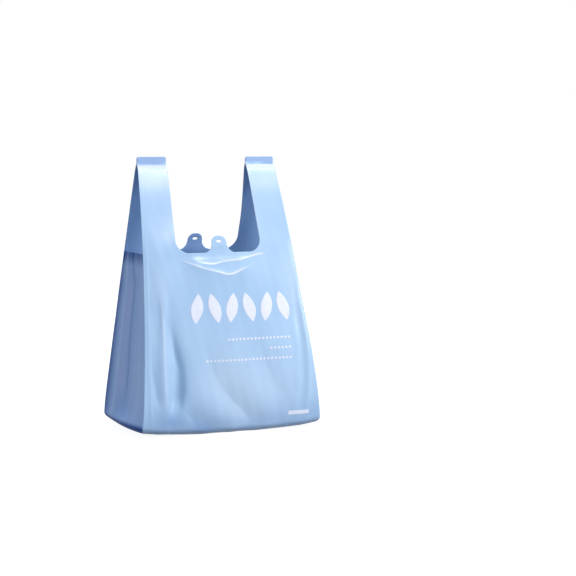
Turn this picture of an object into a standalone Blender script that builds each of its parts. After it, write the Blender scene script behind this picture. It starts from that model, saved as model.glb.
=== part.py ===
"""Vest-type bin bag with tie handles, standing open on a flat base.

The bag is one sheet of film. Its body is a front panel, a back panel and two side gussets over a folded base. Above
the mouth each panel goes on as two handle strips, and a welded band joins each front strip to the back strip behind
it. A hanging tab with a punched slot stands on the middle of each mouth edge.

Units are metres, +Z is up and the front faces -Y. The origin is the middle of the base.
"""

from math import cos, exp, pi, sin, sqrt

import bmesh
import bpy

# Outer form. The film is drawn thicker than real film, which is about 0.03 mm, so that it makes a solid wall.
FILM = 0.0008
HEIGHT = 0.458
BASE_WIDTH = 0.3182
TOP_WIDTH = 0.2454
BASE_DEPTH = 0.203
BASE_ROUND = 0.012
BASE_TUCK = 0.005
TUCK_REACH = 0.060
SEAM_LIFT = 0.0012

# Depth profile, an ogive: how early the walls start to lean in, and how they close on the weld.
LEAN_POWER = 1.35
CLOSE_POWER = 0.9

# The stance of this bag: its top leans to the left, its right side is fuller and its base curls up at both ends.
# The last value puts the middle of the whole bag over the origin again.
TOP_LEAN = 0.005
RIGHT_FULLNESS = 0.004
FULLNESS_TOP = 0.230
BASE_CURL = 0.007
BASE_FLAT = 0.25
CURL_REACH = 0.150
STANCE_SHIFT = (-0.0011, -0.0001)

# Mouth, which is cut straight through every layer of the flat bag.
MOUTH_HEIGHT = 0.2985
MOUTH_WIDTH = 0.152
MOUTH_TOP_WIDTH = 0.1436
MOUTH_CORNER = 0.022
RIM_BULGE = 0.006
RIM_BULGE_FADE = 0.045

# Welded band across each handle's end.
WELD_HEIGHT = 0.0125
WELD_CORNER = 0.003
WELD_GAP = 0.0002
WELD_SKIN = 0.0003
WELD_BITE = 0.003

# Hanging tab on each mouth edge, and its punched slot.
TAB_WIDTH = 0.027
TAB_HEIGHT = 0.0265
TAB_FLARE_WIDTH = 0.0105
TAB_FLARE_HEIGHT = 0.016
TAB_TOP_ROUND = 0.0115
SLOT_WIDTH = 0.0087
SLOT_HEIGHT = 0.004
SLOT_DROP = 0.009
FRONT_SWAY = -0.001
BACK_SWAY = -0.0065
SWAY_FADE = 0.050

# Gusset: the middle crease is drawn in, and the film stands out in a soft ridge behind it.
# The crease's depth is a line of (height, depth) points. Places run from -1 at the front fold to 1 at the back fold.
CREASE_DEPTH = ((0.0, 0.004), (0.03, 0.0105), (0.09, 0.0095), (0.15, 0.0080), (0.20, 0.0095), (0.24, 0.0110),
                (0.28, 0.0040), (0.30, 0.0025))
RIDGE_HEIGHT = 0.005
RIDGE_PLACE = 0.40
RIDGE_SPREAD = 0.22

# How finely the film is divided.
SWAG_ROWS = (3, 3, 4)
BODY_ROWS = 10
ROUND_ROWS = 3
CORNER_ROWS = 5
STRIP_ROWS = 7
TAB_ROWS = 6
TAB_COLUMNS = 4
RIM_COLUMNS = 3
STRIP_COLUMNS = 11
DEPTH_PLACES = (-1.0, -0.66, -0.33, -0.065, 0.0, 0.065, 0.2, 0.4, 0.6, 0.8, 1.0)

FILM_COLOUR = (0.445, 0.638, 0.871, 1.0)

WELD_LINE = HEIGHT - WELD_HEIGHT
RIM_FLAT = MOUTH_WIDTH / 2 - MOUTH_CORNER
TAB_ROOT = TAB_WIDTH / 2 + TAB_FLARE_WIDTH

# Swags: two folds hang from handle to handle under the mouth, one below the other. Each crest is given as
# (share of the half width, depth below the rim). Rows of film follow the crests, and SWAG_END is where the last
# of these rows runs straight again.
FRONT_CRESTS = (
    ((-1, 0.014), (-0.60, 0.007), (-0.44, 0.010), (-0.29, 0.0172), (-0.18, 0.0192), (-0.09, 0.0204), (-0.01, 0.0171),
     (0.08, 0.0134), (0.26, 0.0129), (0.385, 0.0089), (0.48, 0.006), (0.62, 0.0045), (1, 0.014)),
    ((-1, 0.040), (-0.60, 0.012), (-0.475, 0.0125), (-0.365, 0.019), (-0.23, 0.0275), (-0.09, 0.0323), (0.0, 0.0353),
     (0.095, 0.0390), (0.205, 0.0365), (0.33, 0.0288), (0.43, 0.0235), (0.60, 0.022), (1, 0.040)),
)
BACK_CRESTS = (
    ((-1, 0.014), (-0.60, 0.007), (-0.40, 0.009), (-0.10, 0.014), (0.14, 0.018), (0.36, 0.013), (0.60, 0.007),
     (1, 0.014)),
    ((-1, 0.040), (-0.60, 0.022), (-0.40, 0.029), (-0.15, 0.041), (0.02, 0.044), (0.20, 0.037), (0.42, 0.024),
     (0.60, 0.018), (1, 0.040)),
)
SWAG_END = 0.085

# How far each crest stands out, the shares of the half width between which it shows, over what shares it fades
# in and out, and how far its slopes reach above and below it.
FRONT_SWAGS = (
    {"height": 0.0026, "span": (-0.42, 0.76), "ends": (0.14, 0.26), "above": 0.0085, "below": 0.0130},
    {"height": 0.0032, "span": (-0.74, 0.48), "ends": (0.26, 0.24), "above": 0.0110, "below": 0.0220},
)
BACK_SWAGS = (
    {"height": 0.0030, "span": (-0.58, 0.62), "ends": (0.30, 0.30), "above": 0.0080, "below": 0.0100},
    {"height": 0.0040, "span": (-0.54, 0.56), "ends": (0.30, 0.30), "above": 0.0110, "below": 0.0130},
)
SWAG_RIM_FADE = 0.012


def drape(line, height, spread, fade_in, fade_out):
    """A long soft fold: its line as (height, x) points, how far it stands out, its half width and its two fades."""
    return {"line": line, "height": height, "spread": spread, "in": fade_in, "out": fade_out}


# Drapes run down a panel. On the front, a broad fold under the left handle narrows to a ridge beside a deep groove.
FRONT_DRAPES = (
    drape(((0.20, -0.1060), (0.25, -0.1010), (0.30, -0.1020)), 0.0030, 0.0200, (0.190, 0.250), (0.270, 0.330)),
    drape(((0.04, -0.1160), (0.085, -0.1185), (0.14, -0.1165), (0.195, -0.1100), (0.25, -0.1060)),
          0.0034, 0.0080, (0.042, 0.062), (0.200, 0.250)),
    drape(((0.04, -0.0990), (0.075, -0.0930), (0.12, -0.0925), (0.16, -0.0965), (0.21, -0.1000)),
          -0.0085, 0.0110, (0.044, 0.068), (0.115, 0.225)),
    drape(((0.02, 0.1320), (0.088, 0.1405), (0.15, 0.1410), (0.21, 0.1370)),
          0.0014, 0.0050, (0.020, 0.060), (0.190, 0.270)),
    drape(((0.02, 0.1200), (0.088, 0.1290), (0.15, 0.1310), (0.21, 0.1290)),
          -0.0012, 0.0060, (0.020, 0.060), (0.190, 0.270)),
)
BACK_DRAPES = (
    drape(((0.05, 0.0980), (0.15, 0.0940), (0.24, 0.0860)), 0.0042, 0.0120, (0.040, 0.090), (0.180, 0.260)),
    drape(((0.05, 0.0700), (0.13, 0.0640), (0.20, 0.0560)), -0.0045, 0.0100, (0.050, 0.090), (0.120, 0.210)),
    drape(((0.05, -0.1120), (0.14, -0.1060), (0.22, -0.1000)), -0.0035, 0.0120, (0.040, 0.090), (0.140, 0.240)),
)

# Slanting waves low on a panel, where the film has slumped. A wave's crest lies where across x + up z, less first,
# is a whole number of periods, and the waves fade out beyond the limits on each side.
FRONT_WAVES = {"across": 0.78, "up": 0.62, "first": 0.030, "period": 0.070, "height": 0.0017,
               "left": (-0.085, -0.030), "right": (0.085, 0.135), "low": (0.002, 0.030), "high": (0.080, 0.150)}
BACK_WAVES = {"across": -0.74, "up": 0.67, "first": 0.030, "period": 0.080, "height": 0.0019,
              "left": (-0.120, -0.060), "right": (0.050, 0.100), "low": (0.002, 0.030), "high": (0.080, 0.150)}

# Everything that differs between the two panels. The front faces -Y.
FRONT = {"facing": -1, "sway": FRONT_SWAY, "crests": FRONT_CRESTS, "swags": FRONT_SWAGS, "drapes": FRONT_DRAPES,
         "waves": FRONT_WAVES}
BACK = {"facing": 1, "sway": BACK_SWAY, "crests": BACK_CRESTS, "swags": BACK_SWAGS, "drapes": BACK_DRAPES,
        "waves": BACK_WAVES}


def ease(low, high, value):
    """0 below low, 1 above high and a smooth step between."""
    share = min(1.0, max(0.0, (value - low) / (high - low)))
    return share * share * (3 - 2 * share)


def follow(line, place):
    """The value of a line of (place, value) points at a place."""
    for (low, first), (high, second) in zip(line, line[1:]):
        if place <= high:
            return first + (second - first) * max(0.0, place - low) / (high - low)
    return line[-1][1]


def half_width(z):
    return (BASE_WIDTH + (TOP_WIDTH - BASE_WIDTH) * z / HEIGHT) / 2


def half_depth(z):
    """The ogive from the base to the weld, where the two inner faces all but meet. Near the floor it tucks under."""
    closed = FILM + WELD_GAP
    share = min(z / WELD_LINE, 1.0)
    tuck = BASE_TUCK * max(0.0, 1 - z / TUCK_REACH) ** 2
    return closed + (BASE_DEPTH / 2 - closed) * (1 - share**LEAN_POWER) ** CLOSE_POWER - tuck


def settled(x, y, z):
    """Moves a point of the symmetric bag to where it lies in this bag's stance."""
    across = x / half_width(z)
    curl = BASE_CURL * (max(0.0, abs(across) - BASE_FLAT) / (1 - BASE_FLAT)) ** 2
    curl *= max(0.0, 1 - z / CURL_REACH) ** 2
    fullness = RIGHT_FULLNESS * max(0.0, across) ** 2 * sin(pi * min(1.0, (z + 0.04) / (FULLNESS_TOP + 0.04)))
    lean = TOP_LEAN * min(1.0, z / WELD_LINE) ** 3
    return x + fullness - lean + STANCE_SHIFT[0], y + STANCE_SHIFT[1], z + curl


def swayed(x, z, sway):
    """The x of a point near the mouth, where the middle of the rim has slid sideways."""
    across = x / half_width(z)
    return x + sway * max(0.0, 1 - across**2) * exp(-(((z - MOUTH_HEIGHT) / SWAY_FADE) ** 2))


def swag_depth(across, level, crests):
    """The depth below the rim of a row of film. The rim is level 0, the crests are levels 1 and 2."""
    marks = [0.0, follow(crests[0], across), follow(crests[1], across), SWAG_END]
    step = min(int(level), 2)
    return marks[step] + (marks[step + 1] - marks[step]) * (level - step)


def bump(distance, spread):
    """A bell: 1 at no distance, and about a third at one spread."""
    return exp(-((distance / spread) ** 2))


def swag_relief(x, z, look):
    """The crests' tents, each with its own reach above and below, faded to nothing at the rim."""
    across = x / half_width(z)
    relief = 0.0
    for crest, swag in zip(look["crests"], look["swags"]):
        start, end = swag["span"]
        fade_in, fade_out = swag["ends"]
        fade = ease(start, start + fade_in, across) * (1 - ease(end - fade_out, end, across))
        above = z - (MOUTH_HEIGHT - follow(crest, across))
        reach = swag["above"] if above > 0 else swag["below"]
        relief += swag["height"] * fade * exp(-abs(above) / reach)
    return relief * ease(0.0, SWAG_RIM_FADE, MOUTH_HEIGHT - z)


def drape_relief(x, z, fold):
    fade = ease(*fold["in"], z) * (1 - ease(*fold["out"], z))
    return fold["height"] * fade * bump(x - follow(fold["line"], z), fold["spread"])


def wave_relief(x, z, waves):
    slant = waves["across"] * x + waves["up"] * z - waves["first"]
    fade = ease(*waves["left"], x) * (1 - ease(*waves["right"], x))
    fade *= ease(*waves["low"], z) * (1 - ease(*waves["high"], z))
    return waves["height"] * fade * cos(2 * pi * slant / waves["period"])


def panel_relief(x, z, look):
    """How far a panel stands out of the plane between its two fold edges."""
    inside = max(0.0, 1 - (x / half_width(z)) ** 2)
    above = max(0.0, z - MOUTH_HEIGHT)
    bulge = RIM_BULGE * inside * bump(above, RIM_BULGE_FADE) * ease(0.0, MOUTH_HEIGHT / 2, z)
    folds = sum(drape_relief(x, z, fold) for fold in look["drapes"]) + wave_relief(x, z, look["waves"])
    swags = swag_relief(x, z, look) if z < MOUTH_HEIGHT else 0.0
    return bulge + ease(0.0, 0.10, inside) * folds + ease(0.0, 0.25, inside) * swags


def gusset_relief(place, z):
    """How far a gusset stands out of the plane between the front fold (place -1) and the back fold (place 1)."""
    crease = -follow(CREASE_DEPTH, z) * (1 - abs(place))
    ridge = RIDGE_HEIGHT * bump(place - RIDGE_PLACE, RIDGE_SPREAD) * (1 - place**4)
    return ease(0.004, 0.05, z) * (crease + ridge * (1 - 0.5 * ease(0.22, 0.29, z)))


def body_rows():
    """(height at the fold edges, inset, swag level) of each row from the base to the rim.

    The first rows turn round the base's edge. The last ones, which have a level, follow the swags.
    """
    rows = []
    for step in range(ROUND_ROWS):
        angle = pi / 2 * (1 - step / ROUND_ROWS)
        rows.append((BASE_ROUND * (1 - sin(angle)), BASE_ROUND * (1 - cos(angle)), None))
    top = MOUTH_HEIGHT - SWAG_END
    for step in range(BODY_ROWS):
        rows.append((BASE_ROUND + (top - BASE_ROUND) * step / BODY_ROWS, 0.0, None))
    levels = []
    for start, count in enumerate(SWAG_ROWS):
        levels += [start + step / count for step in range(count)]
    for level in [3.0, *reversed(levels)]:
        rows.append((MOUTH_HEIGHT - swag_depth(1.0, level, FRONT_CRESTS), 0.0, level))
    return rows


def rim_places():
    """The x of each column of a panel where it meets the rim's height, from left to right."""
    right = [TAB_ROOT * step / TAB_COLUMNS for step in range(TAB_COLUMNS)]
    right += [TAB_ROOT + (RIM_FLAT - TAB_ROOT) * step / RIM_COLUMNS for step in range(RIM_COLUMNS)]
    outer = half_width(MOUTH_HEIGHT)
    right += [RIM_FLAT + (outer - RIM_FLAT) * step / STRIP_COLUMNS for step in range(STRIP_COLUMNS + 1)]
    return [-x for x in reversed(right[1:])] + right


def strip_rows():
    """(height, inner x) of each row of a handle strip, round the mouth's corner and up to inside the weld."""
    rows = []
    for step in range(CORNER_ROWS + 1):
        angle = pi / 2 * step / CORNER_ROWS
        rows.append((MOUTH_HEIGHT + MOUTH_CORNER * (1 - cos(angle)), RIM_FLAT + MOUTH_CORNER * sin(angle)))
    start = MOUTH_HEIGHT + MOUTH_CORNER
    for step in range(1, STRIP_ROWS + 1):
        share = step / STRIP_ROWS
        inner = MOUTH_WIDTH / 2 + (MOUTH_TOP_WIDTH - MOUTH_WIDTH) / 2 * share
        rows.append((start + (WELD_LINE - start) * share, inner))
    rows.append((WELD_LINE + WELD_BITE, MOUTH_TOP_WIDTH / 2))
    return rows


def tab_half_width(height):
    """Half the tab's width at a height above the rim: flared root, straight sides, round top."""
    flare = max(0.0, 1 - height / TAB_FLARE_HEIGHT)
    rise = min(TAB_TOP_ROUND, max(0.0, height - TAB_HEIGHT + TAB_TOP_ROUND))
    rounding = TAB_TOP_ROUND - sqrt(TAB_TOP_ROUND**2 - rise**2)
    return TAB_WIDTH / 2 + TAB_FLARE_WIDTH * (1 - sqrt(1 - flare**2)) - rounding


def tab_rows():
    """(height, half width) of each row of the tab. Rows are closest at the root and at the round top."""
    rows = []
    for step in range(TAB_ROWS + 1):
        height = TAB_HEIGHT * (1 - cos(pi * step / TAB_ROWS)) / 2
        rows.append((MOUTH_HEIGHT + height, tab_half_width(height)))
    return rows


def add_patch(mesh, rows):
    """Adds a grid of film. Seen from outside, each row runs from left to right and the rows run upwards."""
    grid = [[mesh.verts.new(settled(*point)) for point in row] for row in rows]
    for lower, upper in zip(grid, grid[1:]):
        for i in range(len(lower) - 1):
            mesh.faces.new((lower[i], lower[i + 1], upper[i + 1], upper[i]))


def add_panel(mesh, look):
    """The front or the back panel, with its two handle strips and its tab."""
    facing = look["facing"]

    def point(x, z, inset=0.0):
        out = half_depth(z) + panel_relief(x, z, look) - inset
        return swayed(x, z, look["sway"]), facing * out, z

    def facing_out(row):
        return row if facing < 0 else row[::-1]

    rim = rim_places()
    outer = half_width(MOUTH_HEIGHT)
    body = []
    for z, inset, level in body_rows():
        scale = (half_width(z) - inset) / outer
        row = []
        for x in rim:
            height = z if level is None else MOUTH_HEIGHT - swag_depth(x / outer, level, look["crests"])
            row.append(point(x * scale, height, inset))
        body.append(facing_out(row))
    add_patch(mesh, body)

    shares = [step / STRIP_COLUMNS for step in range(STRIP_COLUMNS + 1)]
    for side in (-1, 1):
        strip = []
        for z, inner in strip_rows():
            places = [side * (inner + (half_width(z) - inner) * share) for share in shares]
            strip.append(facing_out([point(x, z) for x in sorted(places)]))
        add_patch(mesh, strip)

    steps = range(-TAB_COLUMNS, TAB_COLUMNS + 1)
    tab = [facing_out([point(half * step / TAB_COLUMNS, z) for step in steps]) for z, half in tab_rows()]
    add_patch(mesh, tab)


def add_gusset(mesh, side):
    """The left gusset (side -1) or the right gusset (side 1)."""
    rows = []
    for z, inset, _ in body_rows():
        reach = half_depth(z) - inset
        across = half_width(z) - inset
        row = [(side * (across + gusset_relief(place, z)), place * reach, z) for place in DEPTH_PLACES]
        rows.append(row if side > 0 else row[::-1])
    add_patch(mesh, rows)


def add_base(mesh):
    """The folded base, flat but for the seam across its middle, which is lifted clear of the floor."""
    scale = (half_width(0.0) - BASE_ROUND) / half_width(MOUTH_HEIGHT)
    reach = half_depth(0.0) - BASE_ROUND
    places = [x * scale for x in rim_places()]
    rows = []
    for place in reversed(DEPTH_PLACES):
        lift = SEAM_LIFT if place == 0 else 0.0
        inside = [(x, place * reach, lift) for x in places[1:-1]]
        rows.append([(places[0], place * reach, 0.0), *inside, (places[-1], place * reach, 0.0)])
    add_patch(mesh, rows)


def weld_band(name, side):
    """The solid band that the two film layers become where they are welded, with round upper corners."""
    inner = MOUTH_TOP_WIDTH / 2 - WELD_SKIN
    outer = half_width(WELD_LINE) + WELD_SKIN
    outline = [(inner, WELD_LINE), (outer, WELD_LINE)]
    for centre, first in ((outer - WELD_CORNER, 0.0), (inner + WELD_CORNER, pi / 2)):
        for step in range(5):
            angle = first + pi / 2 * step / 4
            outline.append((centre + WELD_CORNER * cos(angle), HEIGHT - WELD_CORNER + WELD_CORNER * sin(angle)))
    half = FILM + WELD_GAP + WELD_SKIN
    return extruded(name, [(side * x, z) for x, z in outline], -half, half)


def slot_punch(name, look):
    """The punch that cuts the slot through one tab: a flat bar with round ends, along Y."""
    radius = SLOT_HEIGHT / 2
    reach = SLOT_WIDTH / 2 - radius
    height = MOUTH_HEIGHT + TAB_HEIGHT - SLOT_DROP
    middle = swayed(0.0, height, look["sway"])
    outline = []
    for side, first in ((1, -pi / 2), (-1, pi / 2)):
        for step in range(9):
            angle = first + pi * step / 8
            outline.append((middle + side * reach + radius * cos(angle), height + radius * sin(angle)))
    ends = (0.01, BASE_DEPTH) if look["facing"] > 0 else (-BASE_DEPTH, -0.01)
    return extruded(name, outline, *ends)


def extruded(name, outline, front, back):
    """A closed XZ outline extruded along Y, kept as a hidden operand for a Boolean."""
    mesh = bmesh.new()
    face = mesh.faces.new([mesh.verts.new(settled(x, front, z)) for x, z in outline])
    moved = bmesh.ops.extrude_face_region(mesh, geom=[face])["geom"]
    corners = [item for item in moved if isinstance(item, bmesh.types.BMVert)]
    bmesh.ops.translate(mesh, verts=corners, vec=(0.0, back - front, 0.0))
    bmesh.ops.recalc_face_normals(mesh, faces=mesh.faces)
    operand = to_object(mesh, name)
    operand.hide_render = True
    operand.display_type = "WIRE"
    return operand


def to_object(mesh, name):
    data = bpy.data.meshes.new(name)
    mesh.to_mesh(data)
    mesh.free()
    made = bpy.data.objects.new(name, data)
    bpy.context.scene.collection.objects.link(made)
    return made


def film_material():
    """Pale blue polyethylene film, half matt."""
    material = bpy.data.materials.new("blue_film")
    material.use_nodes = True
    shader = material.node_tree.nodes["Principled BSDF"]
    shader.inputs["Base Color"].default_value = FILM_COLOUR
    shader.inputs["Roughness"].default_value = 0.32
    shader.inputs["Metallic"].default_value = 0.0
    return material


def main():
    for old in list(bpy.data.objects):
        bpy.data.objects.remove(old)

    film = bmesh.new()
    add_panel(film, FRONT)
    add_panel(film, BACK)
    add_gusset(film, -1)
    add_gusset(film, 1)
    add_base(film)
    bmesh.ops.remove_doubles(film, verts=film.verts, dist=1e-6)
    bag = to_object(film, "bag")
    bag.data.materials.append(film_material())

    wall = bag.modifiers.new("film", "SOLIDIFY")
    wall.thickness = FILM
    wall.offset = -1.0
    wall.use_even_offset = True
    wall.use_quality_normals = True
    for side, name in ((-1, "weld_left"), (1, "weld_right")):
        joint = bag.modifiers.new(name, "BOOLEAN")
        joint.operation = "UNION"
        joint.object = weld_band(name, side)
    for look, name in ((FRONT, "front_slot"), (BACK, "back_slot")):
        slot = bag.modifiers.new(name, "BOOLEAN")
        slot.operation = "DIFFERENCE"
        slot.object = slot_punch(name, look)
    bag.data.shade_smooth()


main()
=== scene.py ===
# %% [markdown]
# # A vest-type bin bag with tie handles
#
# The real bag is one length of blown polyethylene tube. A machine folds a gusset into each side, welds the
# base and the handle ends, and punches the U of the mouth through every layer at once. Opened and stood up,
# it becomes a tall wedge: wide at the base, closed to a line at the two handle welds.
#
# This script dresses the measured model of that bag. Every surface is a function of two parameters, worked
# out on a whole grid with numpy, so that each fold is one readable formula.

# %% Load the measured model
from math import pi, radians

import bpy
import numpy as np
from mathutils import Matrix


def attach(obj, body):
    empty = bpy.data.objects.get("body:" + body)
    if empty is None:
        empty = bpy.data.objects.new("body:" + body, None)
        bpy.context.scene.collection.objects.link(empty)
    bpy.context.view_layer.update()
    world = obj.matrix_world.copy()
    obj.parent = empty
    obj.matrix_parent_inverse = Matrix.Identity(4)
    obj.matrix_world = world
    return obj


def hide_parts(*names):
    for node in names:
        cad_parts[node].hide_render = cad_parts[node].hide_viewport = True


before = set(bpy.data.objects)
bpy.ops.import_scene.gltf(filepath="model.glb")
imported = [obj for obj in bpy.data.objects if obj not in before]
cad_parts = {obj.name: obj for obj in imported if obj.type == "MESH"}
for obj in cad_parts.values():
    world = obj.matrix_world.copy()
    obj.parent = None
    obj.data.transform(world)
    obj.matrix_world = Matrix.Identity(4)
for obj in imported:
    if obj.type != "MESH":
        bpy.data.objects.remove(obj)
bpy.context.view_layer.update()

# %% [markdown]
# ## The sizes of the bag
#
# All lengths are in metres, +Z is up and the front faces -Y. The same numbers could be read back from the
# model's mesh, but a formula with named sizes can be asked for a point anywhere, and at any fineness.

# %% Sizes of the whole bag
HEIGHT = 0.458
BASE_WIDTH = 0.3182
TOP_WIDTH = 0.2454
BASE_DEPTH = 0.203
BASE_ROUND = 0.012
BASE_TUCK = 0.005
TUCK_REACH = 0.06
LEAN_POWER = 1.35
CLOSE_POWER = 0.9
WELD_HEIGHT = 0.0125
WELD_LINE = HEIGHT - WELD_HEIGHT
LAYER_GAP = 0.001
print("the panels are", BASE_WIDTH, "m wide at the floor and", TOP_WIDTH, "m at the welds")

# %% Sizes of the mouth and its two tabs
MOUTH_HEIGHT = 0.2985
MOUTH_WIDTH = 0.152
MOUTH_TOP_WIDTH = 0.1436
MOUTH_CORNER = 0.022
RIM_FLAT = MOUTH_WIDTH / 2 - MOUTH_CORNER
TAB_WIDTH = 0.027
TAB_HEIGHT = 0.0277
TAB_FLARE_WIDTH = 0.0145
TAB_FLARE_HEIGHT = 0.016
TAB_TOP_ROUND = 0.0115
TAB_NECK = 0.0115
TAB_ROOT = TAB_WIDTH / 2 + TAB_FLARE_WIDTH
SLOT_WIDTH = 0.0087
SLOT_HEIGHT = 0.004
SLOT_DROP = 0.009

# %% How this bag happens to stand
# It stands a little off its own axes, and its closed top leans to the left.
STANCE_SHIFT = (0.0007, -0.0001)
TOP_LEAN = 0.0068
# The right side swells between two heights, of which the lower is given as a depth under the floor.
RIGHT_FULLNESS = 0.004
FULLNESS_BELOW = 0.04
FULLNESS_TOP = 0.23
# Both ends of the base curl up outside the flat share of the width, and the left one a little more.
BASE_CURL = 0.007
BASE_FLAT = 0.32
LEFT_CURL = 0.0012
LEFT_CURL_RISE = (0.35, 0.75)
CURL_REACH = 0.15
# The fold under each panel is lifted in low arcs whose lengths drift. They set in between two depths.
SCALLOP_HEIGHT = 0.0009
SCALLOP_LENGTH = 0.058
SCALLOP_DRIFT = 0.6
SCALLOP_DRIFT_LENGTH = 0.09
SCALLOP_TOP = 0.03
SCALLOP_DEPTHS = (0.07, 0.098)
# At the floor the two ends bulge, more towards the front, and the front's left corner stands forwards.
END_BULGE = 0.0088
END_BULGE_FADE = 0.05
END_BULGE_SKEW = 0.7
LEFT_STEP = 0.0045
LEFT_STEP_TOP = 0.22
# The middle of each rim has slid sideways.
FRONT_SWAY = -0.001
BACK_SWAY = -0.0065
SWAY_FADE = 0.05

# %% Three values for the colour, which follow a point's x, y and z: overlap and painted shade, painted highlight, painted light
OVERLAP_AND_SHADE, PAINTED_HIGHLIGHT, PAINTED_LIGHT = 3, 4, 5
# The folded hem deepens the blue below the first height, and no more above the second: partly its double
# film, partly painted shade where the bag meets the floor.
HEM_DARK = 0.0005
HEM_CLEAR = 0.0036

# %% [markdown]
# ## The plain form
#
# The panels lean together along an ogive, a curve that starts upright at the base and closes ever faster on
# the weld. A skin stretched over a few drawn sections would give it too, but a power curve needs only two
# numbers and is smooth at every height. The fold edges at the sides run straight, because they are creases
# pressed in when the bag was made flat.


# %% Curves of the plain form
def ease(low, high, value):
    """A smooth step: 0 below low, 1 above high, and 3t^2 - 2t^3 between, with t the share of the way."""
    share = np.clip((value - low) / (high - low), 0, 1)
    return share * share * (3 - 2 * share)


def bump(distance, spread):
    """A bell: e to the minus (distance / spread) squared."""
    return np.exp(-((distance / spread) ** 2))


def between(rise, fall, value):
    """Up from 0 to 1 over the rise, a pair of values, and down again over the fall, another pair."""
    return ease(*rise, value) * (1 - ease(*fall, value))


def half_width(z):
    """Half the width falls in a straight line from the base to the top."""
    return (BASE_WIDTH + (TOP_WIDTH - BASE_WIDTH) * z / HEIGHT) / 2


def half_depth(z):
    """Half the depth: (1 - s^p)^q of the base's, less a tuck near the floor; s is the share of the way up."""
    share = np.clip(z / WELD_LINE, 0, 1)
    tuck = BASE_TUCK * np.clip(1 - z / TUCK_REACH, 0, 1) ** 2
    return LAYER_GAP + (BASE_DEPTH / 2 - LAYER_GAP) * (1 - share**LEAN_POWER) ** CLOSE_POWER - tuck


def inwards(x, z):
    """One minus the square of the way across: 1 in the middle of a panel and 0 at its fold edges."""
    return np.clip(1 - (x / half_width(z)) ** 2, 0, 1)


def settled(x, y, z):
    """The stance: the top slides left with height cubed, the right side swells and both base ends curl up.

    Low down, the two ends bulge outwards between their corners, with the sixth power of the way across, and
    the left corner of the front steps forwards.

    Three more values go with each point for the colour to follow. The overlap, partly double film and partly
    painted shade, is 1 at the folded hem and eases to 0 above it. The painted highlight and the painted light
    stay 0 until a fold or a patch sets them.
    """
    across = x / half_width(z)
    lean = TOP_LEAN * np.clip(z / WELD_LINE, 0, 1) ** 3
    swell = RIGHT_FULLNESS * np.clip(across, 0, None) ** 2
    swell = swell * np.sin(pi * np.clip((z + FULLNESS_BELOW) / (FULLNESS_TOP + FULLNESS_BELOW), 0, 1))

    curl = BASE_CURL * (np.clip(np.abs(across) - BASE_FLAT, 0, None) / (1 - BASE_FLAT)) ** 2
    curl = curl + LEFT_CURL * ease(*LEFT_CURL_RISE, -across)
    curl = curl * np.clip(1 - z / CURL_REACH, 0, 1) ** 2
    drift = SCALLOP_DRIFT * np.sin(pi * x / SCALLOP_DRIFT_LENGTH)
    scallop = SCALLOP_HEIGHT * np.abs(np.sin(pi * x / SCALLOP_LENGTH + drift))
    curl = curl + scallop * np.clip(1 - z / SCALLOP_TOP, 0, 1) ** 2 * ease(*SCALLOP_DEPTHS, np.abs(y))

    backwards = 2 * y / BASE_DEPTH
    bulge = END_BULGE * np.sign(across) * np.abs(across) ** 6 * bump(z, END_BULGE_FADE)
    bulge = bulge * np.clip(1 - backwards**2, 0, 1) * (1 - END_BULGE_SKEW * backwards)
    step = LEFT_STEP * np.clip(-across, 0, 1) ** 2 * np.clip(1 - z / LEFT_STEP_TOP, 0, 1) ** 2
    step = step * np.clip(-backwards, 0, 1)

    overlap_and_shade = 1 - ease(HEM_DARK, HEM_CLEAR, z + 0 * x)
    place = [x + swell - lean + bulge + STANCE_SHIFT[0], y - step + STANCE_SHIFT[1] + 0 * x, z + curl]
    return np.stack([*place, overlap_and_shade, 0 * overlap_and_shade, 0 * overlap_and_shade], axis=-1)


def swayed(x, z, sway):
    """The middle of the rim slides sideways by sway, less towards the fold edges and far from the mouth."""
    return x + sway * inwards(x, z) * bump(z - MOUTH_HEIGHT, SWAY_FADE)


print("depth at the base, at the mouth and under the weld, in mm:",
      [round(2000 * float(half_depth(np.float64(z))), 1) for z in (0.0, MOUTH_HEIGHT, 0.44)])

# %% [markdown]
# ## Folds
#
# Thin film can't stretch, so where the handles pull the panel up at two points, the loose part between them
# hangs in swags: curved folds with a sharp crest. Sculpting them by hand would work too, but a crest line
# and a profile across it can be moved and sharpened by changing a number. Each fold adds a height, measured
# outwards from the panel.


# %% Smooth lines through a few points
def smooth_line(points, softness=0.06):
    """A line through (place, value) points, sampled finely and averaged over a sliding Hann window."""
    places, values = np.array(points).T
    fine = np.linspace(places[0], places[-1], 800)
    window = np.hanning(max(3, int(800 * softness)))
    padding = len(window) // 2
    level = np.pad(np.interp(fine, places, values), padding, mode="edge")
    soft = np.convolve(level, window / window.sum(), mode="same")[padding:-padding]
    return lambda place: np.interp(place, fine, soft)


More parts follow.
